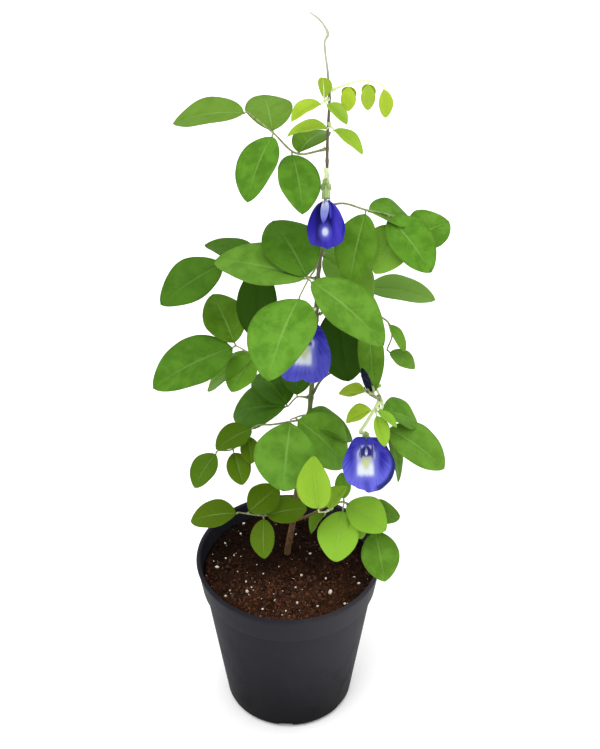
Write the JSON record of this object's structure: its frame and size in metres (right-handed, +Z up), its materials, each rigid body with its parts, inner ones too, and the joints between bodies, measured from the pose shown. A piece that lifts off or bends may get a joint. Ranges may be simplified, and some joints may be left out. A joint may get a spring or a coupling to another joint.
{
  "type": "potted butterfly pea",
  "caption": "Young twining butterfly pea with pinnate leaves and blue keeled flowers, rooted in dark potting mix in a round black nursery pot with a deep lip.",
  "frame": {"origin": "middle of the pot's underside, where it rests", "axes": "+Z up along the pot's axis, -Y towards the side that shows the open flowers"},
  "size_m": [0.1871, 0.1582, 0.5484],
  "materials": {
    "pot": "matte",
    "soil": "matte",
    "stem": "matte",
    "leaf": "satin",
    "young_leaf": "satin",
    "petal": "matte",
    "keel": "matte",
    "calyx": "matte"
  },
  "bodies": {
    "root": {"pot": "pot", "soil": "soil", "stems": "stem", "leaf_bottom_left": "leaf", "leaf_lower_left": "leaf", "leaf_lower_front": "leaf", "leaf_lower_back": "leaf", "leaf_mid_left": "leaf", "leaf_upper_mid_left": "leaf", "leaf_front": "leaf", "leaf_right": "leaf", "leaf_upper_right": "leaf", "leaf_shaded_right": "leaf", "leaf_upper_left": "leaf", "leaf_tip_left": "young_leaf", "leaf_tip_cluster": "young_leaf", "leaf_tip_right": "leaf", "leaf_shoot_young": "young_leaf", "leaf_shoot_right": "leaf", "leaf_shoot_small": "leaf", "leaf_front_right": "leaf", "leaf_front_young": "young_leaf", "flower_top_petals": "petal", "flower_top_keel": "keel", "flower_top_calyx": "calyx", "flower_middle_petals": "petal", "flower_middle_keel": "keel", "flower_middle_calyx": "calyx", "flower_open_petals": "petal", "flower_open_keel": "keel", "flower_open_calyx": "calyx", "bud_petals": "petal", "bud_calyx": "calyx"}
  },
  "joints": []
}
